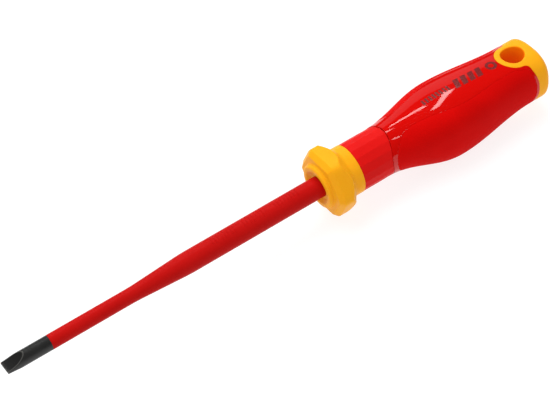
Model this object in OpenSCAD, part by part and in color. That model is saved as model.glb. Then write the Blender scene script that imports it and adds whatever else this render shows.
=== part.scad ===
// Insulated slotted screwdriver, 5.5 x 125.
// The tool lies along +X: origin on the axis at the end of the slot tip, butt towards +X.
// +Z is the axis of the hanging hole, the grip pads face +Y and -Y.

/* [Blade] */
// Width of the slot tip, which is also the diameter of the bare steel
tip_w = 5.4; // [4.6:0.1:6]
// Thickness of the slot tip at its end
tip_t = 1; // [0.8:0.1:1.2]
// Length of bare steel in front of the insulation
bare_l = 17.1; // [12:0.1:18]
// Usable length, from the slot tip to the handle
blade_l = 125; // [100:1:150]

/* [Insulation] */
// Diameter of the slim front part, flush with the steel
slim_d = 5.44; // [5:0.02:6]
// Diameter of the full part in front of the handle
full_d = 7.86; // [7:0.02:9]
// Where the slim part ends, from the tip
slim_end = 49.7; // [40:0.1:55]
// Where the full part starts, from the tip
full_start = 70.5; // [60:0.1:80]

/* [Guard] */
// Across flats of the hexagonal anti-roll guard
guard_af = 23.8; // [22:0.1:26]
// Diameter over the rounded hexagon corners
guard_d = 26.4; // [24:0.1:27]
// Diameter of the plain ring behind the guard
ring_d = 18.6; // [18:0.1:20]

/* [Neck grip] */
// Number of flats round the turning grip
neck_flats = 18; // [12:1:24]
// Diameter of the turning grip
neck_d = 18.5; // [18:0.1:19]
// Length of the turning grip on the top face
neck_l = 15.1; // [12:0.1:18]

/* [Handle] */
// Half width at the belly
belly_w = 13.7; // [12:0.1:15]
// Height of the top face at the belly
belly_top = 11.2; // [10:0.1:14]
// Depth of the underside at the belly
belly_bottom = 15.4; // [11:0.1:17]
// Half width at the butt
butt_w = 11.1; // [10.6:0.1:12]
// Height of the top face at the butt
butt_top = 9.85; // [9.6:0.05:11]
// Depth of the underside at the butt
butt_bottom = 11.5; // [9.6:0.1:12]
// Length of the handle behind the usable blade length
handle_l = 97.7; // [95:0.1:100]
// Diameter of the hanging hole
hole_d = 8.6; // [7:0.1:9]

/* [Grip pads] */
// Thickness of the soft pads let into the sides
pad_t = 1.6; // [1:0.1:2]
// Half width of the hard top strip between the pads at the thumb
strip_front = 4.9; // [4:0.1:6]
// Half width of the hard top strip at the belly
strip_belly = 8.5; // [7:0.1:9]
// Half width of the hard top strip at the butt
strip_butt = 6.6; // [6:0.1:7]

/* [Hidden] */
$fn = 64;

// Stations along the tool
guard_x = blade_l + 2.6;       // the hexagon starts behind the front boss
guard_l = 5.6;                 // length of the flats, with their front edge
guard_edge = 1.1;              // height of the bevel along the front of each flat
boss_r = 8.6;                  // front boss
boss_round = 2;
dish_r = 6.4;                  // the boss is dished round the insulation, down to a flat floor
dish_l = 1.2;
dish_floor_r = 4.9;
seat_gap = 0.1;                // the insulation's shoulder stands this far off that floor
fillet_r = 1.6;                // fillet between guard and ring
ring_x = blade_l + 11.4;       // the fillet has run out into the ring
neck_x = blade_l + 14.3;       // front of the turning grip
groove_x = neck_x + neck_l;    // groove behind the turning grip, on the top face
groove_dip = 2.8;              // the groove comes this much forward on the sides
swell_x = blade_l + 26;        // the handle starts to swell
belly_x = blade_l + 55;        // thickest place
waist_x = blade_l + 88;        // slimmest place before the butt
hole_x = blade_l + 87.1;       // axis of the hanging hole
butt_x = blade_l + 90.3;       // seam between grip shell and butt
end_x = blade_l + handle_l;    // end of the butt
dome_l = 4.6;                  // length of the rounded end
dome_sag = 1.1;                // the end's centre lies this much below the axis

// Steel inside the insulation and inside the handle
slim_core_r = 1.9;
rod_r = 2.75;
tang_end = blade_l + 62;
wing_x = blade_l + 28;
wing_l = 12;
wing_w = 9;
wing_t = 2.4;
grind_r = 19;                  // hollow grind of the slot tip
grind_back = 1.5;              // the grinding wheel's centre lies this far in front of the tip

// Seats inside the handle
spigot_r = 3.6;                // insulation inside the handle
spigot_end = blade_l + 16;
core_r = 7.2;                  // hard core under the grips
core_swell = 1.5;              // the core is thicker under the belly
rib_r = 9;                     // keying ribs on the core
rib_w = 2;

tongue_r = 6.6;                // eye round the hanging hole
tongue_back = 1.4;             // the eye's blank starts this far in front of it
tongue_fillet = 2.3;
seam_x = hole_x + 1.9;         // where the eye runs out into the sides
seam_bow_r = 25;               // the seam bows towards the butt on the sides
pad_front_x = blade_l + 28.4;
pad_gap = 1.1;                 // the shell shows this wide between the pads and the butt
pad_nose_l = 7.6;              // the pads' rounded front
strip_ease_l = 20;             // the strip narrows to its butt width over this length
ring_steps = 56;               // points round a handle section

// Smooth step from a to b while t runs from 0 to 1
function ease(a, b, t) = a + (b - a) * (1 - cos(180 * min(max(t, 0), 1))) / 2;

// A size along the handle: neck, belly, then butt
function along(x, neck, belly, butt) =
    x < belly_x ? ease(neck, belly, (x - swell_x) / (belly_x - swell_x))
                : ease(belly, butt, (x - belly_x) / (waist_x - belly_x));

// How far the rounded end has closed in, 1 before it and 0 at the very end
function dome(x) =
    let (t = max(0, (x - end_x + dome_l) / dome_l))
    pow(max(0, 1 - pow(t, 2.4)), 1 / 1.6);

// One point of a handle section, a superellipse that is round at the neck and squarer behind
function section_point(x, angle, inset) =
    let (
        n = along(x, 2, 2.6, 2.5),
        s = dome(x),
        w = along(x, neck_d / 2, belly_w, butt_w) - inset,
        top = along(x, neck_d / 2, belly_top, butt_top) - inset,
        bottom = along(x, neck_d / 2, belly_bottom, butt_bottom) - inset,
        c = cos(angle),
        v = sin(angle),
        h = v > 0 ? top : bottom
    )
    [
        x,
        s * w * sign(c) * pow(abs(c), 2 / n),
        s * h * sign(v) * pow(abs(v), 2 / n) - (1 - s) * dome_sag
    ];

// Loft through the handle sections from one station to another
module handle_loft(from = swell_x - 1, to = butt_x + 1, inset = 0, step = 2.5, n = ring_steps) {
    dome_x = end_x - dome_l;
    stations = concat(
        [for (x = [from : step : min(to, dome_x) - 0.5]) x],
        to < end_x ? [to] : [for (t = [0, 0.3, 0.55, 0.75, 0.88, 0.95, 0.985]) dome_x + t * dome_l]
    );
    rows = len(stations);
    points = [for (x = stations) for (i = [0 : n - 1]) section_point(x, (i + 0.5) * 360 / n, inset)];
    sides = [
        for (r = [0 : rows - 2]) for (i = [0 : n - 1])
            let (a = r * n + i, b = r * n + (i + 1) % n)
            each [[a, a + n, b], [b, a + n, b + n]]
    ];
    caps = [[for (i = [0 : n - 1]) i], [for (i = [n - 1 : -1 : 0]) (rows - 1) * n + i]];
    polyhedron(points, concat(sides, caps), convexity = 4);
}

// The body that the pads lie on
module pad_floor() {
    handle_loft(inset = pad_t, step = 5, n = ring_steps / 2);
}

// Turns a shape that was made along +Z so that it lies along +X
module along_x() {
    rotate([0, 90, 0]) children();
}

// Extrudes an outline given in side view, X to the right and Z up, right through the width
module side_cut() {
    translate([0, 40, 0]) rotate([90, 0, 0]) linear_extrude(80) children();
}

// Region in front of the curved groove between turning grip and handle
module groove_outline() {
    half = neck_d / 2 + 1;
    curve = [
        for (z = [-half : half / 10 : half + 0.01])
            [groove_x - groove_dip * (1 - pow(2 * z / neck_d, 2)), z]
    ];
    polygon(concat([[neck_x - 5, -half]], curve, [[neck_x - 5, half]]));
}

// Half width of the hard strip that stays between the pads, on the top and underneath
function strip(x) =
    let (nose = pad_front_x + pad_nose_l, mid = belly_x + 4)
    x < nose ? strip_front + (neck_d / 2 - strip_front) * pow((nose - x) / pad_nose_l, 1.5)
    : x < mid ? ease(strip_front, strip_belly, (x - nose) / (mid - nose))
    : ease(strip_belly, strip_butt, (x - mid) / strip_ease_l);

// Plan view of one pad, on the +Y side
module pad_outline() {
    edge = [for (x = [pad_front_x : pad_nose_l / 5 : hole_x]) [x, strip(x)]];
    polygon(concat(edge, [[butt_x, strip_butt], [butt_x, 20], [pad_front_x, 20]]));
}

// Everything that one pad may fill: its plan, kept clear of the butt
module pad_prism(side) {
    difference() {
        mirror([0, side < 0 ? 1 : 0, 0])
            translate([0, 0, -25]) linear_extrude(50) pad_outline();
        butt_region(pad_gap);
    }
}

// Steel rod with its hollow-ground slot tip and the flattened wings that stop it turning
module blade_solid() {
    r = tip_w / 2;
    difference() {
        along_x() rotate_extrude() polygon([
            [0, 0], [r, 0], [r, bare_l], [slim_core_r, bare_l], [slim_core_r, slim_end + 2],
            [rod_r, full_start - 4], [rod_r, tang_end - 1.5], [rod_r - 1.5, tang_end], [0, tang_end]
        ]);
        for (side = [-1, 1])
            translate([-grind_back, 10, side * (grind_r + tip_t / 2 - pow(grind_back, 2) / (2 * grind_r))])
                rotate([90, 0, 0]) cylinder(r = grind_r, h = 20, $fn = 96);
    }
    translate([wing_x, -wing_w / 2, -wing_t / 2]) cube([wing_l, wing_w, wing_t]);
}

// Hard core that runs through the grips, thicker under the belly and keyed by four ribs
module core_bar() {
    from = groove_x;
    to = hole_x;
    swell = [
        for (i = [0 : 12])
            [core_r + core_swell * pow(sin(180 * i / 12), 2), from + (to - from) * i / 12]
    ];
    along_x() rotate_extrude() polygon(concat([[0, neck_x], [core_r, neck_x]], swell, [[0, to]]));
    for (turn = [0, 90])
        rotate([turn, 0, 0]) translate([belly_x - 15, -rib_w / 2, -rib_r]) cube([36, rib_w, 2 * rib_r]);
}

// Everything of the handle that belongs to the butt: the end cap and the eye round the hole
module butt_region(grow = 0) {
    difference() {
        translate([hole_x - grow, -20, -20]) cube([end_x - hole_x + grow + 1, 40, 40]);
        translate([butt_x - seam_bow_r - grow, 25, 0]) rotate([90, 0, 0])
            cylinder(r = seam_bow_r, h = 50, $fn = 128);
    }
    fillet_x = seam_x - tongue_fillet;
    fillet_y = sqrt(pow(tongue_r + tongue_fillet, 2) - pow(fillet_x - hole_x, 2));
    translate([0, 0, -20]) linear_extrude(40) {
        translate([hole_x, 0]) circle(r = tongue_r + grow);
        difference() {
            translate([hole_x, -fillet_y]) square([seam_x - hole_x - grow + 0.5, 2 * fillet_y]);
            for (side = [-1, 1])
                translate([fillet_x, side * fillet_y]) circle(r = tongue_fillet - grow);
        }
    }
}

module blade() {
    color("#2d2e2d") blade_solid();
}

module blade_insulation() {
    slim_r = slim_d / 2;
    full_r = full_d / 2;
    seat_x = blade_l + dish_l - seat_gap;
    color("#c8201c") along_x() rotate_extrude() polygon([
        [slim_core_r, bare_l], [slim_r - 0.15, bare_l], [slim_r, bare_l + 0.3],
        [slim_r, slim_end], [full_r, full_start],
        [full_r, seat_x], [spigot_r, seat_x], [spigot_r, spigot_end], [rod_r, spigot_end],
        [rod_r, full_start - 4], [slim_core_r, slim_end + 2]
    ]);
}

// One step of the hexagonal guard, from one half width across flats to the next
module hex_step(x, length, from, to) {
    along_x() translate([0, 0, x]) rotate(30)
        cylinder(r1 = from / cos(30), r2 = to / cos(30), h = length, $fn = 6);
}

// Dished front boss, hexagonal guard with rounded corners, and plain ring
module guard() {
    half = guard_af / 2;
    rear_x = guard_x + guard_l;
    rear_steps = [0, 0.5, 0.9, 1.2, 1.4];
    rear_drop = [0, 0.12, 0.42, 0.85, 1.45];
    intersection() {
        union() {
            hex_step(guard_x, guard_edge / 2, half - guard_edge, half);
            hex_step(guard_x + guard_edge / 2, guard_l - guard_edge / 2, half, half);
            for (i = [0 : 3])
                hex_step(rear_x + rear_steps[i], rear_steps[i + 1] - rear_steps[i],
                         half - rear_drop[i], half - rear_drop[i + 1]);
        }
        along_x() translate([0, 0, guard_x]) cylinder(d = guard_d, h = guard_l + 2);
    }
    along_x() rotate_extrude() difference() {
        union() {
            square_at(boss_r - boss_round, blade_l, guard_x + 1);
            square_at(boss_r, blade_l + boss_round, guard_x + 1);
            translate([boss_r - boss_round, blade_l + boss_round]) circle(r = boss_round);
            square_at(ring_d / 2, guard_x + 1, neck_x);
            translate([0, rear_x + 1]) square([ring_d / 2 + fillet_r, ring_x - rear_x - 1]);
        }
        translate([ring_d / 2 + fillet_r, ring_x]) circle(r = fillet_r);
    }
}

// Half of a revolved disc: everything inside radius r between two stations
module square_at(r, from, to) {
    translate([0, from]) square([r, to - from]);
}

module handle_core() {
    color("#f0a82a") difference() {
        union() {
            guard();
            core_bar();
            intersection() {
                handle_loft(from = hole_x - tongue_r - tongue_back, to = end_x);
                butt_region();
            }
        }
        along_x() translate([0, 0, blade_l - 0.01])
            cylinder(r1 = dish_r, r2 = dish_floor_r, h = dish_l + 0.01);
        along_x() translate([0, 0, blade_l]) cylinder(r = spigot_r, h = spigot_end - blade_l);
        blade_solid();
        translate([hole_x, 0, -25]) cylinder(d = hole_d, h = 50);
    }
}

module neck_grip() {
    r = neck_d / 2;
    lip = 0.35;                // chamfer at the front edge
    flat_r = r - 0.02;         // the flats' corners just break the turned profile
    color("#d4231e") difference() {
        intersection() {
            along_x() rotate_extrude() polygon([
                [0, neck_x], [r - lip, neck_x], [r - 0.05, neck_x + lip], [r - 0.05, neck_x + 0.9],
                [r - 0.3, neck_x + 1.3], [r - 0.1, neck_x + 2.6], [r, neck_x + 4.6], [r, neck_x + 7],
                [r - 0.1, neck_x + 9.4], [r - 0.25, neck_x + 10.8], [r - 0.1, neck_x + 12],
                [r - 0.1, groove_x + 2], [0, groove_x + 2]
            ]);
            rotate([0, 90, 0]) translate([0, 0, neck_x - 1])
                linear_extrude(neck_l + 4)
                    polygon([for (i = [0 : neck_flats - 1])
                        let (a = (i + 0.5) * 360 / neck_flats)
                        flat_r * [cos(a), sin(a)]]);
            side_cut() groove_outline();
        }
        along_x() translate([0, 0, neck_x - 1]) cylinder(r = core_r, h = neck_l + 4);
    }
}

module grip_shell() {
    color("#d81a14") difference() {
        handle_loft();
        side_cut() groove_outline();
        butt_region();
        core_bar();
        blade_solid();
        difference() {
            union() {
                pad_prism(1);
                pad_prism(-1);
            }
            pad_floor();
        }
    }
}

module side_pad(side) {
    color("#b81612") difference() {
        intersection() {
            handle_loft();
            pad_prism(side);
        }
        pad_floor();
    }
}

module side_pad_left() {
    side_pad(1);
}

module side_pad_right() {
    side_pad(-1);
}

blade();
blade_insulation();
handle_core();
neck_grip();
grip_shell();
side_pad_left();
side_pad_right();
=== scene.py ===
import math
import bmesh
import bpy
import numpy as np
from mathutils import Matrix, Vector
from mathutils.geometry import delaunay_2d_cdt


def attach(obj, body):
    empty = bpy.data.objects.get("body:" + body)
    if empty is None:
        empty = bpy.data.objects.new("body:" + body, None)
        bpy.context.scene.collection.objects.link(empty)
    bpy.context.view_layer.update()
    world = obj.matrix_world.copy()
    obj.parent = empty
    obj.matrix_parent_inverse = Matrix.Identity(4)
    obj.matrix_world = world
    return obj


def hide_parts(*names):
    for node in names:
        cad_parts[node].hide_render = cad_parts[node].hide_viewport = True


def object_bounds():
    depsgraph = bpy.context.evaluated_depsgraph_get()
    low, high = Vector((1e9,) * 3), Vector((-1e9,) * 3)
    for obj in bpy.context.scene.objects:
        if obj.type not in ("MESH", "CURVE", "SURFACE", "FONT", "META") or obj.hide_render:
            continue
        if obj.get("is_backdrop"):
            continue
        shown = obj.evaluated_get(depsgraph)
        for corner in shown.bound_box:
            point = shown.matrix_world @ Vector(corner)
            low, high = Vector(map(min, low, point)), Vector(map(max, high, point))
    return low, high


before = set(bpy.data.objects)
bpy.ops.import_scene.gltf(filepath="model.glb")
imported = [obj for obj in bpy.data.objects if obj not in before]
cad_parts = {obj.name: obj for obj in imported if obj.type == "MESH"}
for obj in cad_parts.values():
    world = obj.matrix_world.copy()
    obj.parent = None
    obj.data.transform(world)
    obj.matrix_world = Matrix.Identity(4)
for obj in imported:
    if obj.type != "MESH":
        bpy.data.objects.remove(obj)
cad_low, cad_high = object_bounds()


# ---- Camera ----
# It looks down on the tool from its right-hand side, with the slot tip nearest.
camera_data = bpy.data.cameras.new("camera")
camera_data.sensor_width = 36
camera_data.lens = 124.364
camera_data.clip_start = 0.01
camera = bpy.data.objects.new("camera", camera_data)
camera.location = (-0.09902, -0.40542, 0.46887)
camera.rotation_euler = [math.radians(turn) for turn in (43.865, 6.929, -34.176)]
bpy.context.scene.collection.objects.link(camera)
bpy.context.scene.camera = camera
bpy.context.scene.view_settings.view_transform = "Standard"


# ---- Blade ----
# A round chrome-vanadium rod, blackened, with a slot tip that is hollow-ground
# on a wheel. Its slimmer core runs on inside the insulation, and flattened
# wings near its end keep it from turning in the handle.
MM = 0.001
blade_r = 2.7
tip_half = 0.5
grind_r, grind_back = 19, 1.5
bare_end = 17.1
ground_end = 8
round_stations = (8, 9, 11, 14, 16.8)
slim_core_r, rod_r = 1.9, 2.75
core_taper = (51.7, 66.5)
wing_x, wing_l, wing_half_w, wing_half_t = 153, 12, 4.5, 1.2
tang_end, tang_chamfer = 187, 1.5
ridge_drop, ridge_reach = 0.03, 0.12


class Wire:
    """An output of a node tree; arithmetic on it adds Math nodes to that tree."""

    def __init__(self, tree, socket=None):
        self.tree = tree
        self.socket = socket

    def node(self, kind, settings=None, values=None, output=0):
        """Adds a node: its settings first, then the values or links of its sockets."""
        made = self.tree.nodes.new(kind)
        for key, value in (settings or {}).items():
            setattr(made, key, value)
        for key, value in (values or {}).items():
            if isinstance(value, Wire):
                self.tree.links.new(value.socket, made.inputs[key])
            else:
                made.inputs[key].default_value = value
        return Wire(self.tree, made.outputs[output])

    def math(self, operation, *operands):
        return self.node("ShaderNodeMath", {"operation": operation}, dict(enumerate(operands)))

    def noise(self, scale, detail=2.0):
        return self.node("ShaderNodeTexNoise", None,
                         {"Vector": self, "Scale": scale, "Detail": detail})

    def stretch(self, *scale):
        return self.node("ShaderNodeMapping", None, {"Vector": self, "Scale": scale})

    def root(self):
        return self.math("SQRT", self)

    def fraction(self):
        return self.math("FRACT", self)

    def blend(self, low, high):
        """This 0 to 1 value as a colour between two colours."""
        return self.node("ShaderNodeMix", {"data_type": "RGBA"}, {0: self, 6: low, 7: high}, 2)

    def axis(self, name):
        """One coordinate of this position, in millimetres."""
        return self.node("ShaderNodeSeparateXYZ", None, {0: self}, name) * 1000

    def bump(self, strength, depth_mm):
        return self.node("ShaderNodeBump", None,
                         {"Height": self, "Strength": strength, "Distance": depth_mm * MM})

    def step(self, low, high):
        """0 below low, 1 above high, and a ramp between them."""
        return self.node("ShaderNodeMapRange", {"clamp": True},
                         {"Value": self, "From Min": low, "From Max": high})

    def __add__(self, other):
        return self.math("ADD", self, other)

    def __radd__(self, other):
        return self.math("ADD", other, self)

    def __sub__(self, other):
        return self.math("SUBTRACT", self, other)

    def __rsub__(self, other):
        return self.math("SUBTRACT", other, self)

    def __mul__(self, other):
        return self.math("MULTIPLY", self, other)

    def __rmul__(self, other):
        return self.math("MULTIPLY", other, self)

    def __truediv__(self, other):
        return self.math("DIVIDE", self, other)

    def __rtruediv__(self, other):
        return self.math("DIVIDE", other, self)

    def __lt__(self, other):
        return self.math("LESS_THAN", self, other)

    def __gt__(self, other):
        return self.math("GREATER_THAN", self, other)

    def __abs__(self):
        return self.math("ABSOLUTE", self)


def finish_of(name, sockets):
    """A material whose Principled sockets come from sockets(place), place in metres."""
    made = bpy.data.materials.new(name)
    made.use_nodes = True
    tree = made.node_tree
    shader = tree.nodes["Principled BSDF"]
    place = Wire(tree).node("ShaderNodeTexCoord", output="Object")
    for key, value in sockets(place).items():
        if isinstance(value, Wire):
            tree.links.new(value.socket, shader.inputs[key])
        else:
            shader.inputs[key].default_value = value
    return made


def add_rings(bm, rings, loop=False):
    """Skins a solid through rings of points in mm; a ring of one point closes an end."""
    rows = [[bm.verts.new(Vector(point) * MM) for point in ring] for ring in rings]
    pairs = list(zip(rows, rows[1:])) + ([(rows[-1], rows[0])] if loop else [])
    for low, high in pairs:
        for i in range(max(len(low), len(high))):
            corners = [low[i % len(low)], low[(i + 1) % len(low)],
                       high[(i + 1) % len(high)], high[i % len(high)]]
            corners = list(dict.fromkeys(corners))
            if len(corners) > 2:
                bm.faces.new(corners)


def mesh_of(name, bm, merge_mm=0.004, sharp_deg=40):
    """The closed, smooth mesh of bm, with its doubles merged and its faces outwards."""
    bmesh.ops.remove_doubles(bm, verts=bm.verts, dist=merge_mm * MM)
    bmesh.ops.dissolve_degenerate(bm, edges=bm.edges, dist=merge_mm * MM / 4)
    bmesh.ops.recalc_face_normals(bm, faces=bm.faces)
    mesh = bpy.data.meshes.new(name)
    bm.to_mesh(mesh)
    bm.free()
    mesh.shade_smooth()
    mesh.set_sharp_from_angle(angle=math.radians(sharp_deg))
    return mesh


def piece_of(name, mesh, material):
    mesh.materials.clear()
    mesh.materials.append(material)
    piece = bpy.data.objects.new(name, mesh)
    bpy.context.scene.collection.objects.link(piece)
    return piece


def ground_half(x):
    """Half the thickness that the grinding wheel leaves at x."""
    wheel_z = tip_half + math.sqrt(grind_r ** 2 - grind_back ** 2)
    return wheel_z - math.sqrt(max(0, grind_r ** 2 - (x + grind_back) ** 2))


def blade_ring(x, inset=0.0):
    """A section of the rod, cut flat above and below where the wheel has been."""
    r, half = blade_r - inset, min(ground_half(x), blade_r) - inset
    edge = math.asin(min(1, half / r))
    soft = ridge_drop * min(1, 4 * (1 - half / r))
    quarter = []
    for t in (0, 0.2, 0.4, 0.6, 0.78, 0.9, 0.96, 0.985, 1):
        drop = soft * max(0, 1 - r * edge * (1 - t) / ridge_reach) ** 2
        quarter.append(((r - drop) * math.cos(edge * t), (r - drop) * math.sin(edge * t)))
    flat = r * math.cos(edge)
    for t in (0.02, 0.05, 0.12, 0.25, 0.45, 0.7, 1):
        drop = soft * max(0, 1 - flat * t / ridge_reach) ** 2
        quarter.append((flat * (1 - t), half - drop))
    ring = quarter + [(-y, z) for y, z in quarter[-2::-1]]
    ring += [(-y, -z) for y, z in quarter[1:]] + [(y, -z) for y, z in quarter[-2:0:-1]]
    return [(x, y, z) for y, z in ring]


def tang_ring(x, r, winged=False):
    ring = []
    for _, y, z in blade_ring(bare_end):
        turn = math.atan2(z, y)
        reach = r
        if winged:
            plate = min(wing_half_w / max(1e-6, abs(math.cos(turn))),
                        wing_half_t / max(1e-6, abs(math.sin(turn))))
            reach = max(r, plate)
        ring.append((x, reach * math.cos(turn), reach * math.sin(turn)))
    return ring


bm = bmesh.new()
rings = [[(0, 0, 0)], blade_ring(0, 0.09)]
rings += [[(x, y, z) for _, y, z in blade_ring(x, inset)] for x, inset in ((0.03, 0.03), (0.1, 0))]
rings += [blade_ring(0.3 + 0.2 * i) for i in range(38)]
rings += [blade_ring(x) for x in (*round_stations, bare_end)]
rings += [tang_ring(bare_end, slim_core_r), tang_ring(core_taper[0], slim_core_r),
          tang_ring(core_taper[1], rod_r), tang_ring(wing_x, rod_r),
          tang_ring(wing_x, rod_r, True), tang_ring(wing_x + wing_l, rod_r, True),
          tang_ring(wing_x + wing_l, rod_r), tang_ring(tang_end - tang_chamfer, rod_r),
          tang_ring(tang_end, rod_r - tang_chamfer), [(tang_end, 0, 0)]]
add_rings(bm, rings)


def blackened(place):
    cloud = place.noise(260, 3)
    grain = place.noise(2600, 2)
    wheel_marks = place.stretch(0.06, 1, 0.4).noise(4200, 2)
    x, y, z = place.axis("X"), place.axis("Y"), place.axis("Z")
    wheel_z = tip_half + math.sqrt(grind_r ** 2 - grind_back ** 2)
    reach = x + grind_back
    hollow = wheel_z - (grind_r ** 2 - reach * reach).root()
    ground = (1 - abs(abs(z) - hollow).step(0.04, 0.12)) * (x < ground_end)
    # The ridge where the hollow grind meets the round rod is marked for a thin painted highlight.
    ridge = ground * (1 - (blade_r - (y * y + z * z).root()).step(0.08, 0.24))
    # Lighter where the tip's edge is worn, and along the grind ridge as a painted highlight.
    wear_and_edge_highlight = ((1 - x.step(0.1, 0.9)) * grain.step(0.4, 0.65) + ridge * 0.8).step(0, 1)
    # The hollow-ground flats are painted darker than the round rod: painted shade.
    dark = cloud.blend((0.011, 0.011, 0.0105, 1), (0.017, 0.017, 0.0165, 1))
    round_part = cloud.blend((0.016, 0.016, 0.0155, 1), (0.027, 0.027, 0.026, 1))
    colour = wear_and_edge_highlight.blend(ground.blend(round_part, dark), (0.11, 0.108, 0.1, 1))
    relief = grain * 0.5 + wheel_marks * ground
    return {"Base Color": colour, "Metallic": 0.25,
            "Roughness": 0.36 + 0.14 * grain + 0.08 * cloud,
            "Specular IOR Level": 0.5, "Normal": relief.bump(0.35, 0.03)}


blade = piece_of("blade_blackened", mesh_of("blade_blackened", bm, 0.002, 50),
                 finish_of("blackened_steel", blackened))
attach(blade, "root")
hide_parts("blade")


# ---- Insulation ----
# A red plastic sleeve moulded straight onto the rod: slim and flush with the
# steel in front, stouter behind. It sits in the handle on a spigot, and carries
# a row of small raised moulding marks.
slim_r, full_r = 2.72, 3.93
slim_end, full_start = 49.7, 70.5
sleeve_end = 126.1
spigot_r, spigot_end = 3.6, 141
sleeve_turns = 120
taper_soft, rod_gap = 2.5, 0.02


def turned(profile, turns):
    """Rings of a turned solid from (x, r) points."""
    steps = [2 * math.pi * i / turns for i in range(turns)]
    return [[(x, r * math.cos(a), r * math.sin(a)) for a in steps] for x, r in profile]


def sleeve_radius(x):
    window = x + np.linspace(-taper_soft, taper_soft, 31)
    share = np.clip((window - slim_end) / (full_start - slim_end), 0, 1).mean()
    return slim_r + (full_r - slim_r) * float(share)


bm = bmesh.new()
profile = [(bare_end, slim_core_r + rod_gap), (bare_end, slim_r - 0.12),
           (bare_end + 0.03, slim_r - 0.05), (bare_end + 0.12, slim_r)]
profile += [(x, sleeve_radius(x)) for x in np.linspace(bare_end + 1, sleeve_end, 110)]
profile += [(sleeve_end, spigot_r), (spigot_end, spigot_r), (spigot_end, rod_r + rod_gap),
            (core_taper[1], rod_r + rod_gap), (core_taper[0], slim_core_r + rod_gap)]
add_rings(bm, turned(profile, sleeve_turns), loop=True)


def sleeve_plastic(place):
    cloud = place.noise(120, 3)
    pores = place.noise(2200, 3)
    scuffs = place.stretch(0.15, 1, 1).noise(900, 4).step(0.6, 0.78)
    colour = cloud.blend((0.44, 0.004, 0.0034, 1), (0.50, 0.006, 0.005, 1))
    return {"Base Color": colour, "Roughness": 0.34 + 0.1 * pores + 0.12 * scuffs,
            "Specular IOR Level": 0.04,
            "Normal": (pores + scuffs * 0.4 + cloud * 2).bump(0.18, 0.03)}


sleeve_red = finish_of("sleeve_plastic", sleeve_plastic)
sleeve = piece_of("insulating_sleeve", mesh_of("insulating_sleeve", bm), sleeve_red)
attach(sleeve, "root")
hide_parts("blade_insulation")

# The marks are short raised strokes round the sleeve, tall and short in turn, in three groups.
mark_start, mark_pitch, mark_count = 81.5, 1.3, 28
mark_centre_deg, mark_tall_deg, mark_short_deg = 97, 48, 20
mark_bead_r = 0.11
mark_gap_every, mark_gap = 10, 2


def node_shape(name, mesh, material, inputs, build):
    """Runs a Geometry Nodes tree over a mesh and keeps the plain mesh that it makes."""
    tree = bpy.data.node_groups.new(name, "GeometryNodeTree")
    tree.interface.new_socket("Geometry", in_out="INPUT", socket_type="NodeSocketGeometry")
    tree.interface.new_socket("Geometry", in_out="OUTPUT", socket_type="NodeSocketGeometry")
    for key, value in inputs.items():
        kind = "NodeSocketInt" if isinstance(value, int) else "NodeSocketFloat"
        tree.interface.new_socket(key, in_out="INPUT", socket_type=kind)
    entry = tree.nodes.new("NodeGroupInput")
    wires = {key: Wire(tree, entry.outputs[key]) for key in ["Geometry", *inputs]}
    shape = build(wires)
    shape = shape.node("GeometryNodeSetShadeSmooth", None, {"Geometry": shape})
    shape = shape.node("GeometryNodeSetMaterial", None, {"Geometry": shape, "Material": material})
    leave = tree.nodes.new("NodeGroupOutput")
    tree.links.new(shape.socket, leave.inputs["Geometry"])
    holder = bpy.data.objects.new(name, mesh)
    bpy.context.scene.collection.objects.link(holder)
    modifier = holder.modifiers.new("shape", "NODES")
    modifier.node_group = tree
    for item in tree.interface.items_tree:
        if item.in_out == "INPUT" and item.name in inputs:
            modifier[item.identifier] = inputs[item.name]
    ready = holder.evaluated_get(bpy.context.evaluated_depsgraph_get())
    made = bpy.data.meshes.new_from_object(ready)
    holder.modifiers.remove(modifier)
    holder.data = made
    return holder


def raised_marks(wires):
    root = wires["Geometry"]
    line = root.node("GeometryNodeMeshLine", None, {"Count": wires["Count"]})
    index = root.node("GeometryNodeInputIndex")
    station = wires["Start"] + index * wires["Pitch"]
    spot = root.node("ShaderNodeCombineXYZ", None, {"X": station})
    line = root.node("GeometryNodeSetPosition", None, {"Geometry": line, "Position": spot})
    in_group = index.math("MODULO", index, wires["Gap every"]) < wires["Gap every"] - wires["Gap"]
    tall = index.math("MODULO", index, 3) < 1.5
    bead = root.node("GeometryNodeCurvePrimitiveCircle", None,
                     {"Resolution": 8, "Radius": wires["Bead radius"]})
    shapes = []
    for sweep, chosen in ((wires["Tall sweep"], in_group * tall),
                          (wires["Short sweep"], in_group * (1 - tall))):
        arc = root.node("GeometryNodeCurveArc", {"mode": "RADIUS"},
                        {"Resolution": 14, "Radius": wires["Radius"],
                         "Start Angle": wires["Centre"] - sweep / 2, "Sweep Angle": sweep})
        tube = root.node("GeometryNodeCurveToMesh", None,
                         {"Curve": arc, "Profile Curve": bead, "Fill Caps": True})
        upright = root.node("GeometryNodeTransform", None,
                            {"Geometry": tube, "Rotation": (math.pi / 2, 0, math.pi / 2)})
        shapes.append(root.node("GeometryNodeInstanceOnPoints", None,
                                {"Points": line, "Instance": upright, "Selection": chosen}))
    joined = root.node("GeometryNodeJoinGeometry")
    for shape in shapes:
        root.tree.links.new(shape.socket, joined.socket.node.inputs[0])
    return joined.node("GeometryNodeRealizeInstances", None, {"Geometry": joined})


marks = node_shape("sleeve_marks", bpy.data.meshes.new("sleeve_marks_seed"), sleeve_red, {
    "Count": mark_count, "Gap every": mark_gap_every, "Gap": mark_gap,
    "Start": mark_start * MM, "Pitch": mark_pitch * MM, "Radius": full_r * MM,
    "Centre": math.radians(mark_centre_deg), "Tall sweep": math.radians(mark_tall_deg),
    "Short sweep": math.radians(mark_short_deg), "Bead radius": mark_bead_r * MM,
}, raised_marks)
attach(marks, "root")


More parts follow.
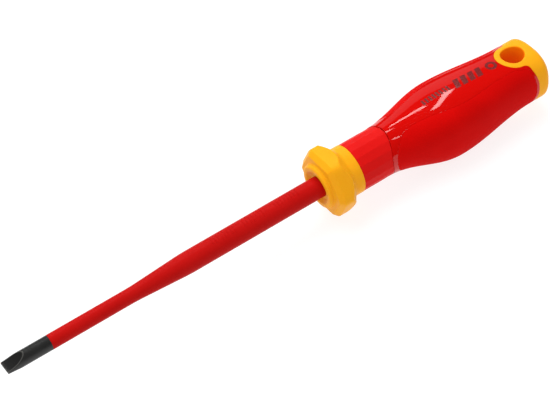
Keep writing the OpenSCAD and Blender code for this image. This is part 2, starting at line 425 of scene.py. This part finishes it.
# ---- Handle core: guard, ring and butt ----
# Hard yellow plastic, moulded first: the hexagonal anti-roll guard with its dished
# boss, the ring behind it, and the butt with the eye round the hanging hole.
# Between them a ribbed bar runs hidden under the grips.
guard_flats, guard_half, guard_corner_r, corner_soft = 6, 11.9, 13.25, 0.7
bevel_half, bevel_corner_r = 10.2, 11.7
dish_floor_x, dish_floor_r, dish_lip_r = 126.2, 4.9, 6.5
boss_x, boss_r = 125, 8.5
guard_x, guard_flat_x, guard_rear_x = 126.7, 128.4, 133.7
rear_lean, rear_slope_l = 1.5, 1.6
ring_r, neck_x, neck_l = 9.3, 139.3, 15.1
groove_x = neck_x + neck_l
hole_x, hole_r, rim_round = 212.1, 4.3, 0.5
core_r, core_swell, rib_r, rib_w = 7.2, 1.5, 9, 2
core_start, core_end = 139, 206
rib_start, rib_end, bar_turns = 165, 201, 96


def soft_min(a, b, soft):
    """The smaller of a and b, with the change between them rounded off."""
    near = max(soft - abs(a - b), 0) / soft
    return min(a, b) - near * near * soft / 4


def rounded_profile(corners, steps=6):
    """The closed (x, r) outline through corners (x, r, rounding), with its corners rounded."""
    out = []
    for i, (x, r, rounding) in enumerate(corners):
        before = Vector(corners[i - 1][:2])
        after = Vector(corners[(i + 1) % len(corners)][:2])
        here = Vector((x, r))
        if not rounding:
            out.append((x, r))
            continue
        into, away = (before - here).normalized(), (after - here).normalized()
        half = into.angle(away) / 2
        reach = rounding / math.tan(half)
        middle = here + (into + away).normalized() * (rounding / math.sin(half))
        start, end = here + into * reach, here + away * reach
        for k in range(steps + 1):
            spoke = start.lerp(end, k / steps) - middle
            point = middle + spoke.normalized() * rounding
            out.append((point.x, point.y))
    return out


def guard_sector(turn):
    """The guard's outline at an angle from the middle of one flat."""
    outer = soft_min(guard_half / math.cos(turn), guard_corner_r, corner_soft)
    bevel = soft_min(bevel_half / math.cos(turn), bevel_corner_r, corner_soft)
    rear_edge = guard_rear_x - rear_lean * (outer - guard_half)
    return rounded_profile([
        (dish_floor_x, full_r + 0.05, 0), (dish_floor_x, dish_floor_r, 0.35),
        (boss_x, dish_lip_r, 0.4), (boss_x, boss_r, 1.0), (guard_x, boss_r, 0.6),
        (guard_x, bevel, 0.3), (guard_flat_x, outer, 0.35), (rear_edge, outer, 0.8),
        (guard_rear_x + rear_slope_l, ring_r, 2.2), (neck_x, ring_r, 0.25),
        (neck_x, spigot_r + 0.03, 0),
        (dish_floor_x, spigot_r + 0.03, 0),
    ])


# A deeper orange painted inside the hanging hole as shade.
bore_painted_shade = (0.98, 0.18, 0.0008, 1)


def yellow_plastic(place):
    cloud = place.noise(90, 2)
    pores = place.noise(1500, 3)
    scuffs = place.noise(420, 5).step(0.62, 0.8)
    x, y = place.axis("X") - hole_x, place.axis("Y")
    # Inside the hanging hole the yellow is painted a deeper orange as shade.
    bore = 1 - (x * x + y * y).root().step(hole_r - 0.1, hole_r + 0.25)
    colour = cloud.blend((0.87, 0.365, 0.006, 1), (0.91, 0.395, 0.010, 1))
    colour = bore.blend(colour, bore_painted_shade)
    return {"Base Color": colour, "Roughness": 0.34 + 0.09 * pores + 0.12 * scuffs,
            "Specular IOR Level": 0.07, "Subsurface Weight": 0.12,
            "Subsurface Radius": (1, 0.45, 0.1), "Subsurface Scale": 0.0012,
            "Normal": (pores + cloud * 3).bump(0.2, 0.03)}


def turned_copies(wires):
    """Sets copies of the incoming sector round the tool's axis and welds them."""
    root = wires["Geometry"]
    line = root.node("GeometryNodeMeshLine", None,
                     {"Count": wires["Sectors"], "Offset": (0, 0, 0)})
    index = root.node("GeometryNodeInputIndex")
    turn = index * (2 * math.pi) / wires["Sectors"] + wires["First turn"]
    spin = root.node("ShaderNodeCombineXYZ", None, {"X": turn})
    copies = root.node("GeometryNodeInstanceOnPoints", None,
                       {"Points": line, "Instance": root, "Rotation": spin})
    solid = root.node("GeometryNodeRealizeInstances", None, {"Geometry": copies})
    return root.node("GeometryNodeMergeByDistance", None, {"Geometry": solid, "Distance": 5e-6})


def sector_mesh(name, outline, sectors, columns):
    """A sector of a ring round the axis, from the outline at each angle."""
    bm = bmesh.new()
    half = math.pi / sectors
    rows = []
    for i in range(columns + 1):
        turn = -half + 2 * half * i / columns
        rows.append([bm.verts.new(Vector((x, r * math.cos(turn), r * math.sin(turn))) * MM)
                     for x, r in outline(turn)])
    for low, high in zip(rows, rows[1:]):
        for i in range(len(low)):
            j = (i + 1) % len(low)
            bm.faces.new((low[i], high[i], high[j], low[j]))
    return mesh_of(name, bm, 0.0005)


core_yellow = finish_of("core_plastic", yellow_plastic)
guard = node_shape("guard_ring", sector_mesh("guard_sector", guard_sector, guard_flats, 30),
                   core_yellow, {"Sectors": guard_flats, "First turn": math.pi / 2},
                   turned_copies)

# Sections of the handle: a superellipse, round at the neck and squarer behind it.
# Of the belly and the butt: half width, height above the axis, depth below it.
neck_r = 9.25
belly = (13.7, 11.2, 15.4)
butt = (11.1, 9.85, 11.5)
squareness = (2, 2.6, 2.5)
swell_x, belly_x, waist_x = 151, 180, 213
end_x, dome_l, dome_sag = 222.7, 4.6, 1.1
eye_r, eye_fillet, seam_x, seam_bow = 6.6, 2.3, 214.0, 1.35
seam_round, shell_t = 0.1, 2.1
arc_scale = 38.0


def ease(start, end, share):
    """A value that leaves start and reaches end level, as share goes from 0 to 1."""
    return start + (end - start) * (1 - np.cos(np.pi * np.clip(share, 0, 1))) / 2


def along(x, neck, at_belly, at_butt):
    rise = ease(neck, at_belly, (x - swell_x) / (belly_x - swell_x))
    fall = ease(at_belly, at_butt, (x - belly_x) / (waist_x - belly_x))
    return np.where(x < belly_x, rise, fall)


def halves(x, angle):
    """The section's exponent, half width and half height at x, above or below the axis."""
    height = np.where(angle > 0, along(x, neck_r, belly[1], butt[1]),
                      along(x, neck_r, belly[2], butt[2]))
    return along(x, *squareness), along(x, neck_r, belly[0], butt[0]), height


def skin(x, angle, depth=0.0, closing=1.0):
    """Points on the handle, or depth under its skin, as rows of x, y, z in mm."""
    x, angle = np.broadcast_arrays(np.asarray(x, float), np.asarray(angle, float))
    power, wide, high = halves(x, angle)
    c, v = np.cos(angle), np.sin(angle)
    y = closing * (wide - depth) * np.sign(c) * np.abs(c) ** (2 / power)
    z = closing * (high - depth) * np.sign(v) * np.abs(v) ** (2 / power) - (1 - closing) * dome_sag
    return np.stack([x, y, z], axis=-1)


def arc_table(x):
    """Angles from the top to the underside, and the share of the way round at each, at every x."""
    t = 0.5 - 0.5 * np.cos(np.linspace(0, np.pi, 121))
    angles = np.concatenate([np.pi / 2 * (1 - t), -np.pi / 2 * t[1:]])
    points = skin(x[:, None], angles[None, :])
    steps = np.linalg.norm(np.diff(points, axis=1), axis=2)
    share = np.concatenate([np.zeros((len(x), 1)), np.cumsum(steps, axis=1)], axis=1)
    return angles, share / share[:, -1:]


def to_plan(x, angle):
    """Lays points of the skin out flat: x along, the way round from the top as the second."""
    x, angle = np.broadcast_arrays(np.asarray(x, float), np.asarray(angle, float))
    angles, share = arc_table(x)
    way = [np.interp(-a, -angles, row) for a, row in zip(angle, share)]
    return np.stack([x, np.array(way) * arc_scale], axis=1)


def to_angle(plan):
    angles, share = arc_table(plan[:, 0])
    return np.array([np.interp(q, row, angles) for q, row in zip(plan[:, 1] / arc_scale, share)])


def angle_at_width(x, y, depth=0.0):
    """The angle on the top side at which the skin is y wide."""
    power, wide, _ = halves(np.asarray(x, float), np.pi / 2)
    return np.arccos(np.clip(np.abs(y) / (wide - depth), 0, 1) ** (power / 2))


def angle_at_height(x, z):
    power, _, high = halves(np.asarray(x, float), np.asarray(z, float))
    return np.sign(z) * np.arcsin(np.clip(np.abs(z) / high, 0, 1) ** (power / 2))


def butt_seam(grow=0.0):
    """x and angle along the seam of the butt, from the top round the +Y side to the underside."""
    centre = np.array([seam_x - eye_fillet, 0.0])
    centre[1] = math.sqrt((eye_r + eye_fillet) ** 2 - (centre[0] - hole_x) ** 2)
    lean = math.atan2(centre[1], centre[0] - hole_x)
    sweep = np.linspace(math.pi, lean, 34)
    eye = np.stack([hole_x + (eye_r + grow) * np.cos(sweep), (eye_r + grow) * np.sin(sweep)], 1)
    sweep = np.linspace(lean - math.pi, 0, 14)[1:]
    round_in = np.stack([np.cos(sweep), np.sin(sweep)], 1) * (eye_fillet - grow) + centre
    top = np.concatenate([eye, round_in])
    top_angle = angle_at_width(top[:, 0], top[:, 1])
    last_x, last_a = top[-1, 0], top_angle[-1]
    high, low = skin(last_x, last_a)[2], skin(last_x, -last_a)[2]
    z = np.linspace(high, low, 42)[1:-1]
    x = last_x + seam_bow * (1 - ((z - (high + low) / 2) / ((high - low) / 2)) ** 2)
    return (np.concatenate([top[:, 0], x, top[::-1, 0]]),
            np.concatenate([top_angle, angle_at_height(x, z), -top_angle[::-1]]))


def distance(points, line):
    """Distance of each point from a polyline in the flat plan."""
    best = np.full(len(points), 1e9)
    for a, b in zip(line, line[1:]):
        d = b - a
        t = np.clip(((points - a) @ d) / max(d @ d, 1e-12), 0, 1)
        best = np.minimum(best, np.linalg.norm(points - (a + t[:, None] * d), axis=1))
    return best


def inside(points, outline):
    hit = np.zeros(len(points), bool)
    for a, b in zip(outline, np.roll(outline, -1, axis=0)):
        if a[1] != b[1]:
            crosses = (a[1] > points[:, 1]) != (b[1] > points[:, 1])
            across = a[0] + (points[:, 1] - a[1]) * (b[0] - a[0]) / (b[1] - a[1])
            hit ^= crosses & (points[:, 0] < across)
    return hit


def fill(outline, holes, edges, spacing, rings):
    """Triangles over a flat outline: rings of points along its real edges, an even field inside."""
    bounds = [outline, *holes]
    loose = []
    for line in edges:
        tangent = np.gradient(line, axis=0)
        normal = np.stack([-tangent[:, 1], tangent[:, 0]], 1)
        normal /= np.linalg.norm(normal, axis=1)[:, None] + 1e-12
        for reach in rings:
            for side in (-1, 1):
                spots = line + side * reach * normal
                keep = np.ones(len(spots), bool)
                for other in edges:
                    keep &= distance(spots, other) > reach * 0.98
                loose.append(spots[keep])
    low, high = outline.min(axis=0), outline.max(axis=0)
    for row, q in enumerate(np.arange(low[1], high[1], spacing * 0.866)):
        x = np.arange(low[0] + (row % 2) * spacing / 2, high[0], spacing)
        spots = np.stack([x, np.full(len(x), q)], 1)
        keep = np.ones(len(spots), bool)
        for line in edges:
            keep &= distance(spots, line) > rings[-1] + 0.4 * spacing
        loose.append(spots[keep])
    loose = np.concatenate(loose)
    keep = inside(loose, outline)
    for hole in holes:
        keep &= ~inside(loose, hole)
    closed = np.concatenate([outline, outline[:1]])
    nearest = np.min([distance(loose, np.concatenate([b, b[:1]])) for b in bounds], axis=0)
    keep &= nearest > rings[0] * 0.6
    straight = distance(loose, closed) < 0.25
    for line in edges:
        straight &= distance(loose, line) > rings[-1] * 1.1
    loose = loose[keep & ~straight]
    points, ties, loops = [], [], []
    for line in bounds:
        first = len(points)
        points += [Vector(p) for p in line]
        loops.append(list(range(first, len(points))))
        ties += [(first + i, first + (i + 1) % len(line)) for i in range(len(line))]
    points += [Vector(p) for p in loose]
    verts, _, faces, origins, _, _ = delaunay_2d_cdt(points, ties, [], 0, 1e-6)
    place = {source: i for i, sources in enumerate(origins) for source in sources}
    plan = np.array([tuple(v) for v in verts])
    middle = np.array([plan[list(face)].mean(axis=0) for face in faces])
    keep = inside(middle, outline)
    for hole in holes:
        keep &= ~inside(middle, hole)
    faces = [face for face, kept in zip(faces, keep) if kept]
    return plan, faces, [[place[i] for i in loop] for loop in loops]


def edge_depth(plan, edges):
    """How far a rounded edge sinks the skin: edges are (line, radius)."""
    depth = np.zeros(len(plan))
    for line, radius in edges:
        short = np.clip(radius - distance(plan, line), 0, radius)
        depth = np.maximum(depth, radius - np.sqrt(radius ** 2 - short ** 2))
    return depth


def add_points(bm, points, side=1):
    return [bm.verts.new(Vector((x, side * y, z)) * MM) for x, y, z in points]


def add_faces(bm, verts, faces):
    for face in faces:
        bm.faces.new([verts[i] for i in face])


def add_wall(bm, low, high, closed=False):
    pairs = list(zip(range(len(low)), range(1, len(low))))
    for i, j in pairs + ([(len(low) - 1, 0)] if closed else []):
        bm.faces.new((low[i], low[j], high[j], high[i]))


def spread(line, spacing):
    """The same polyline, with its points an even spacing apart."""
    length = np.concatenate([[0], np.cumsum(np.linalg.norm(np.diff(line, axis=0), axis=1))])
    count = max(2, int(round(length[-1] / spacing)) + 1)
    at = np.linspace(0, length[-1], count)
    return np.stack([np.interp(at, length, line[:, 0]), np.interp(at, length, line[:, 1])], 1)


# The butt: its skin is laid out flat behind the seam, with the hanging hole left open.
dome_x = end_x - dome_l
edge_step, field_step = 0.4, 0.8
seam_line = spread(to_plan(*butt_seam()), edge_step)
sweep = np.linspace(math.pi, 0, 41)
rim_x, rim_y = hole_x + hole_r * np.cos(sweep), hole_r * np.sin(sweep)
rim_angle = angle_at_width(rim_x, rim_y, rim_round)
rim_angle[[0, -1]] = np.pi / 2
rim_top, rim_low = to_plan(rim_x, rim_angle), to_plan(rim_x, -rim_angle)
rear_line = np.stack([np.full(45, dome_x), np.linspace(0, arc_scale, 45)], 1)
butt_rings = (0.04, 0.09, 0.17, 0.3, 0.5, 0.8)
butt_closing = (1, 0.995, 0.98, 0.95, 0.9, 0.84, 0.76, 0.67, 0.57, 0.46, 0.35, 0.24, 0.13, 0.05)
butt_heart = np.array([204.5, 0, -0.8])


def centre_run(start, end, q):
    """Points along the top or bottom centre line, close together at both ends."""
    gap = abs(end - start)
    near = [d for d in butt_rings if d < gap * 0.45]
    inner = np.linspace(near[-1], gap - near[-1], max(2, int(gap - 2 * near[-1]) + 2))
    away = np.concatenate([near[:-1], inner, [gap - d for d in near[-2::-1]]])
    return np.stack([start + math.copysign(1, end - start) * away, np.full(len(away), q)], 1)


outline = np.concatenate([
    seam_line,
    centre_run(seam_line[-1, 0], rim_low[0, 0], arc_scale), rim_low,
    centre_run(rim_low[-1, 0], dome_x, arc_scale), rear_line[::-1],
    centre_run(dome_x, rim_top[-1, 0], 0.0), rim_top[::-1],
    centre_run(rim_top[0, 0], seam_line[0, 0], 0.0),
])
plan, faces, _ = fill(outline, [], [seam_line, rim_top, rim_low], field_step, butt_rings)
depth = edge_depth(plan, [(seam_line, seam_round), (rim_top, rim_round), (rim_low, rim_round)])
angle = to_angle(plan)


def mirrored(build):
    """Builds the +Y half and the -Y half of a shape in one mesh."""
    bm = bmesh.new()
    for side in (1, -1):
        build(bm, side)
    return bm


def butt_half(bm, side):
    add_faces(bm, add_points(bm, skin(plan[:, 0], angle, depth), side), faces)
    rim = [skin(rim_x, way * rim_angle, rim_round) for way in (1, -1)]
    rows = [add_points(bm, rim[0] + (rim[1] - rim[0]) * t, side) for t in np.linspace(0, 1, 9)]
    for low, high in zip(rows, rows[1:]):
        add_wall(bm, low, high)
    rear_angle = to_angle(rear_line)
    rows = [add_points(bm, skin(dome_x, rear_angle, 0, s)
                       + [dome_l * (1 - s ** 1.9) ** (1 / 2.4), 0, 0], side) for s in butt_closing]
    rows.append(add_points(bm, [(end_x, 0, -dome_sag)] * len(rear_line), side))
    for low, high in zip(rows, rows[1:]):
        add_wall(bm, low, high)
    seam_angle = to_angle(seam_line)
    rows = [skin(seam_line[:, 0], seam_angle, d) for d in (seam_round, shell_t)]
    rows += [rows[1] + (butt_heart - rows[1]) * t for t in (0.3, 0.65, 1)]
    rows = [add_points(bm, row, side) for row in rows]
    for low, high in zip(rows, rows[1:]):
        add_wall(bm, low, high)


bm = mirrored(butt_half)
bar = []
for x in [core_start, *np.linspace(groove_x, core_end, 27)]:
    share = np.clip((x - groove_x) / (hole_x - groove_x), 0, 1)
    bar_r = core_r + core_swell * math.sin(math.pi * share) ** 4
    ring = []
    for i in range(bar_turns):
        turn = 2 * math.pi * i / bar_turns
        across = abs(math.remainder(turn, math.pi / 2))
        ribbed = rib_start < x < rib_end and rib_r * math.sin(across) < rib_w / 2
        r = rib_r if ribbed else bar_r
        ring.append((x, r * math.cos(turn), r * math.sin(turn)))
    bar.append(ring)
add_rings(bm, [[(core_start, 0, 0)], *bar, [(core_end, 0, 0)]])
bm.from_mesh(guard.data)
bpy.data.objects.remove(guard)
core = piece_of("handle_core_yellow", mesh_of("handle_core_yellow", bm, 0.003, 45), core_yellow)
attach(core, "root")
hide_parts("handle_core")


# ---- Neck grip ----
# A separate red collar for the fingertips, with eighteen flats for turning the
# tool fast. The flats fade out at both ends, and its back edge is curved.
neck_flats = 18
groove_dip, groove_gap = 2.8, 0.03
flat_half, flat_soft = 9.03, 0.01
collar_margin, collar_ease = 0.25, 0.4
collar_bore = 7.25
collar_stations = (0, 0.9, 1.4, 2.6, 4.6, 7, 9.4, 10.8, 12, 15.1)
collar_drop = (0.05, 0.04, 0.14, 0.04, 0, 0, 0.02, 0.1, 0.16, 0.06)


def collar_sector(turn):
    length = neck_l - groove_gap
    rows = []
    for t in np.linspace(collar_margin, length - collar_margin, 44):
        window = t + np.linspace(-collar_ease, collar_ease, 9)
        r = neck_r - float(np.interp(window, collar_stations, collar_drop).mean())
        rows.append((neck_x + t, soft_min(r, flat_half / math.cos(turn), flat_soft)))
    first, last = rows[0][1], rows[-1][1]
    front, back = neck_x + 0.04, neck_x + length
    return ([(front, collar_bore), (front, first - 0.24), (front + 0.06, first - 0.09)] + rows
            + [(back - 0.05, last - 0.01), (back - 0.01, last - 0.04), (back, last - 0.1),
               (back, collar_bore)])


def curved_back(wires):
    """Turned copies, drawn forward at the sides in proportion to the way back."""
    solid = turned_copies(wires)
    place = solid.node("GeometryNodeInputPosition")
    x = solid.node("ShaderNodeSeparateXYZ", None, {0: place}, "X")
    z = solid.node("ShaderNodeSeparateXYZ", None, {0: place}, "Z")
    height = z / wires["Radius"]
    pull = (x - wires["Front"]) / wires["Length"] * wires["Dip"] * (1 - height * height)
    shift = solid.node("ShaderNodeCombineXYZ", None, {"X": 0 - pull})
    return solid.node("GeometryNodeSetPosition", None, {"Geometry": solid, "Offset": shift})


def collar_plastic(place):
    cloud = place.noise(110, 2)
    pores = place.noise(2400, 3)
    rubbed = place.noise(380, 4).step(0.55, 0.8)
    colour = cloud.blend((0.62, 0.005, 0.0044, 1), (0.69, 0.007, 0.006, 1))
    return {"Base Color": colour, "Roughness": 0.42 + 0.1 * pores - 0.08 * rubbed,
            "Specular IOR Level": 0.06, "Normal": (pores + cloud).bump(0.3, 0.03)}


collar = node_shape("neck_collar", sector_mesh("collar_sector", collar_sector, neck_flats, 10),
                    finish_of("collar_plastic", collar_plastic), {
    "Sectors": neck_flats, "First turn": math.pi / neck_flats, "Radius": neck_r * MM,
    "Front": neck_x * MM, "Length": neck_l * MM, "Dip": groove_dip * MM,
}, curved_back)
collar.data.set_sharp_from_angle(angle=math.radians(14))
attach(collar, "root")
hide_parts("neck_grip")


# ---- Grip shell ----
# Glossy hard red plastic moulded over the core. It shows as the strip on top, the
# one underneath and the band in front of the butt, and is let in for the two pads.
strip_front, strip_belly, strip_butt = 4.9, 8.5, 6.6
pad_front_x, pad_nose_l, pad_gap = 153.4, 7.6, 1.1
pad_depth, bed_gap = 1.6, 0.02
shell_edge, groove_round = 0.07, 0.08
print_dark = (0.13, 0.004, 0.005, 1)
bars_x, bars_end, bar_pitch, bar_share, bar_half = 171.8, 184.2, 1.55, 0.6, 1.25
slant_x, slant_pitch, slant_count, slant_share, slant_half = 186, 3.25, 4, 0.68, 2.2
mark_ring_x, mark_ring_in, mark_ring_out = 202.4, 1.05, 2.2


def strip(x):
    """Half width of the hard strip between the pads."""
    nose, mid = pad_front_x + pad_nose_l, belly_x + 4
    opening = strip_front + (neck_r - strip_front) * np.clip((nose - x) / pad_nose_l, 0, 1) ** 1.5
    behind = np.where(x < mid, ease(strip_front, strip_belly, (x - nose) / (mid - nose)),
                      ease(strip_belly, strip_butt, (x - mid) / 20))
    return np.where(x < nose, opening, behind)


def groove_line():
    way = np.linspace(0, 1, 76)
    x = np.full(76, groove_x)
    for _ in range(4):
        angle = to_angle(np.stack([x, way * arc_scale], 1))
        z = skin(x, angle)[:, 2]
        x = groove_x - groove_dip * (1 - (z / neck_r) ** 2) + groove_gap
    return np.stack([x, way * arc_scale], 1)


def pad_loop():
    """The outline of the +Y pad in the flat plan."""
    x = pad_front_x + (hole_x - pad_front_x) * np.linspace(0, 1, 400) ** 2
    edge = strip(x)
    upper = angle_at_width(x, edge)
    back_x, back_angle = butt_seam(pad_gap)
    back_y = np.abs(skin(back_x, back_angle)[:, 1])
    keep = back_y >= strip(back_x)
    back_x, back_angle = back_x[keep], back_angle[keep]
    ahead = x < back_x[0]
    x, upper = x[ahead], upper[ahead]
    line = np.concatenate([to_plan(x, upper), to_plan(back_x, back_angle),
                           to_plan(x, -upper)[::-1]])
    line = np.concatenate([line, line[:1]])
    line = spread(line, edge_step)[:-1]
    for _ in range(3):
        line = (np.roll(line, 1, axis=0) + 2 * line + np.roll(line, -1, axis=0)) / 4
    return line


front_line = groove_line()
pad_line = pad_loop()
pad_closed = np.concatenate([pad_line, pad_line[:1]])
shell_rings, bed_rings = (0.03, 0.07, 0.13, 0.25, 0.5), (0.05, 0.11, 0.2, 0.34, 0.6)
rear_gap = 0.05
shell_seam = seam_line - [rear_gap, 0]
top_run = centre_run(front_line[0, 0], shell_seam[0, 0], 0.0)
low_run = centre_run(shell_seam[-1, 0], front_line[-1, 0], arc_scale)
outline = np.concatenate([front_line[::-1], top_run, shell_seam, low_run])
shell_plan, shell_faces, shell_loops = fill(
    outline, [pad_line], [front_line, shell_seam, pad_closed], field_step, shell_rings)
shell_angle = to_angle(shell_plan)
shell_sink = edge_depth(shell_plan, [(front_line, groove_round), (shell_seam, seam_round),
                                     (pad_closed, shell_edge)])
bed_plan, bed_faces, bed_loops = fill(pad_line, [], [pad_closed], field_step, bed_rings)
bed_angle = to_angle(bed_plan)


def shell_half(bm, side):
    top = add_points(bm, skin(shell_plan[:, 0], shell_angle, shell_sink), side)
    low = add_points(bm, skin(shell_plan[:, 0], shell_angle, shell_t), side)
    bed = add_points(bm, skin(bed_plan[:, 0], bed_angle, pad_depth + bed_gap), side)
    under = add_points(bm, skin(bed_plan[:, 0], bed_angle, shell_t), side)
    add_faces(bm, top, shell_faces)
    add_faces(bm, low, shell_faces)
    add_faces(bm, bed, bed_faces)
    add_faces(bm, under, bed_faces)
    add_wall(bm, [top[i] for i in shell_loops[1]], [bed[i] for i in bed_loops[0]], True)
    rim = shell_loops[0]
    seam_end = len(outline) - len(low_run)
    ends = (range(len(front_line)), range(seam_end - len(shell_seam), seam_end))
    for run in ends:
        add_wall(bm, [top[rim[i]] for i in run], [low[rim[i]] for i in run])


def shell_plastic(place):
    x, y, z = place.axis("X"), place.axis("Y"), place.axis("Z")
    cloud = place.noise(60, 2)
    hairlines = place.stretch(0.5, 3, 3).noise(900, 4).step(0.62, 0.8)
    upper = z > 0
    small = ((x - bars_x) / bar_pitch).fraction() < bar_share
    small = small * (x > bars_x) * (x < bars_end) * (abs(y) < bar_half)
    lean = (x - 0.3 * y - slant_x) / slant_pitch
    large = (lean.fraction() < slant_share) * (lean > 0) * (lean < slant_count)
    large = large * (abs(y) < slant_half)
    away = x - mark_ring_x
    ring = (away * away + y * y).root()
    ring = (ring > mark_ring_in) * (ring < mark_ring_out)
    inked = upper * (small + large + ring).step(0, 1)
    ink = place.noise(1800, 2).step(0.15, 0.4) * inked
    plain = cloud.blend((0.545, 0.0024, 0.0014, 1), (0.60, 0.0032, 0.002, 1))
    colour = (ink * 0.92).blend(plain, print_dark)
    return {"Base Color": colour, "Roughness": 0.05 + 0.08 * hairlines + 0.25 * ink,
            "Specular IOR Level": 0.4,
            "Normal": (hairlines * 0.3 + cloud).bump(0.12, 0.02)}


shell = piece_of("grip_shell_glossy", mesh_of("grip_shell_glossy", mirrored(shell_half), 0.003, 50),
                 finish_of("shell_plastic", shell_plastic))
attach(shell, "root")
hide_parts("grip_shell")


# ---- Side pads ----
# Two soft rubber pads, moulded into the shell's beds last. Their skin is matt and
# finely grained, and their edge stands in a hair-fine line against the shell.
pad_edge = 0.13


def pad_rubber(place):
    grain = place.noise(2600, 3)
    patches = place.noise(300, 3)
    cloud = place.noise(70, 2)
    colour = (grain * 0.5 + cloud * 0.5).blend((0.44, 0.001, 0.0006, 1),
                                               (0.74, 0.0026, 0.002, 1))
    return {"Base Color": colour, "Roughness": 0.55 + 0.12 * grain + 0.08 * patches,
            "Specular IOR Level": 0.03,
            "Normal": (grain + patches * 0.6).bump(0.6, 0.05)}


pad_red = finish_of("pad_rubber", pad_rubber)
pad_sink = edge_depth(bed_plan, [(pad_closed, pad_edge)])
for label, side in (("left", 1), ("right", -1)):
    bm = bmesh.new()
    top = add_points(bm, skin(bed_plan[:, 0], bed_angle, pad_sink), side)
    low = add_points(bm, skin(bed_plan[:, 0], bed_angle, pad_depth), side)
    add_faces(bm, top, bed_faces)
    add_faces(bm, low, bed_faces)
    add_wall(bm, [top[i] for i in bed_loops[0]], [low[i] for i in bed_loops[0]], True)
    name = "side_pad_" + label + "_rubber"
    pad = piece_of(name, mesh_of(name, bm, 0.003, 50), pad_red)
    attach(pad, "root")
    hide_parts("side_pad_" + label)


# ---- Floor and light ----
# A plain pale studio: the floor that the tool lies on, wide soft panels over it and
# round it, a faint one behind that gloss shows, a small one over the steel tip, and
# three narrow ones whose reflections run along the shell.
floor_size = 12.0
world_soft, world_gloss = 0.5, 0.02
bm = bmesh.new()
bmesh.ops.create_grid(bm, x_segments=1, y_segments=1, size=floor_size / 2)
bmesh.ops.translate(bm, verts=bm.verts, vec=(0.11, 0, cad_low[2] - 0.0001))
floor_mesh = bpy.data.meshes.new("floor")
bm.to_mesh(floor_mesh)
bm.free()


def pale_floor(place):
    tone = place.noise(3, 2).blend((0.25, 0.25, 0.25, 1), (0.26, 0.26, 0.26, 1))
    return {"Base Color": tone, "Roughness": 0.9, "Specular IOR Level": 0.1,
            "Emission Color": (1, 1, 1, 1), "Emission Strength": 0.82}


floor = piece_of("floor", floor_mesh, finish_of("pale_floor", pale_floor))
floor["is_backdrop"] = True


def lamp(name, place, turn, size, watts, in_gloss=True):
    """A rectangular panel of light; with in_gloss off, reflections don't show it."""
    light = bpy.data.lights.new(name, "AREA")
    light.shape = "RECTANGLE"
    light.size, light.size_y = size
    light.energy = watts
    made = bpy.data.objects.new(name, light)
    made.location, made.rotation_euler = place, turn
    made.visible_glossy = in_gloss
    bpy.context.scene.collection.objects.link(made)


def panel(name, towards, away, size, watts, in_gloss, aim=(0.13, 0, 0)):
    """A soft panel in a direction from the tool, facing it."""
    place = Vector(aim) + Vector(towards).normalized() * away
    turn = (place - Vector(aim)).to_track_quat("Z", "Y").to_euler()
    lamp(name, place, turn, size, watts, in_gloss)


def strip_panel(name, start, end, width, radiance, away=1.0, aim=(0.172, 0, 0.01)):
    """A narrow panel that spans two directions from the handle, facing it."""
    first, last = (Vector(aim) + Vector(way).normalized() * away for way in (start, end))
    place = (first + last) / 2
    back, length = (place - Vector(aim)).normalized(), (last - first).normalized()
    up = back.cross(length).normalized()
    turn = Matrix((length, up, length.cross(up))).transposed().to_euler()
    span = (last - first).length
    lamp(name, place, turn, (span, width), radiance * math.pi * span * width)


behind = (0.2, 0.85, 0.48)
panel("back_panel", behind, 1.1, (1.0, 0.5), watts=1.6, in_gloss=False)
panel("sheen_panel", behind, 1.12, (1.0, 0.5), watts=0.7, in_gloss=True)
panel("key_panel", (-0.1, 0.25, 0.95), 1.2, (1.2, 0.8), watts=11, in_gloss=False)
panel("side_panel", (-0.5, -0.9, 0.6), 1.2, (0.8, 0.6), watts=1.2, in_gloss=False)
panel("tip_panel", (0.3, 0.45, 0.84), 0.3, (0.14, 0.08), watts=0.1, in_gloss=True,
      aim=(0.012, 0, 0))
strip_panel("ridge_strip", (0.25, 0.51, 0.823), (0.2445, 0.57, 0.784), 0.065, radiance=9)
strip_panel("bevel_strip", (0.262, 0.285, 0.922), (0.45, 0.575, 0.69), 0.06, radiance=9)
strip_panel("front_strip", (0.22, -0.36, 0.905), (0.13, -0.44, 0.888), 0.08, radiance=7)
world = bpy.data.worlds.new("studio")
world.use_nodes = True
background = world.node_tree.nodes["Background"]
rays = Wire(world.node_tree)
glossy = rays.node("ShaderNodeLightPath", output="Is Glossy Ray")
background.inputs["Color"].default_value = (1, 1, 1, 1)
world.node_tree.links.new((world_soft - (world_soft - world_gloss) * glossy).socket,
                          background.inputs["Strength"])
bpy.context.scene.world = world

low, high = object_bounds()
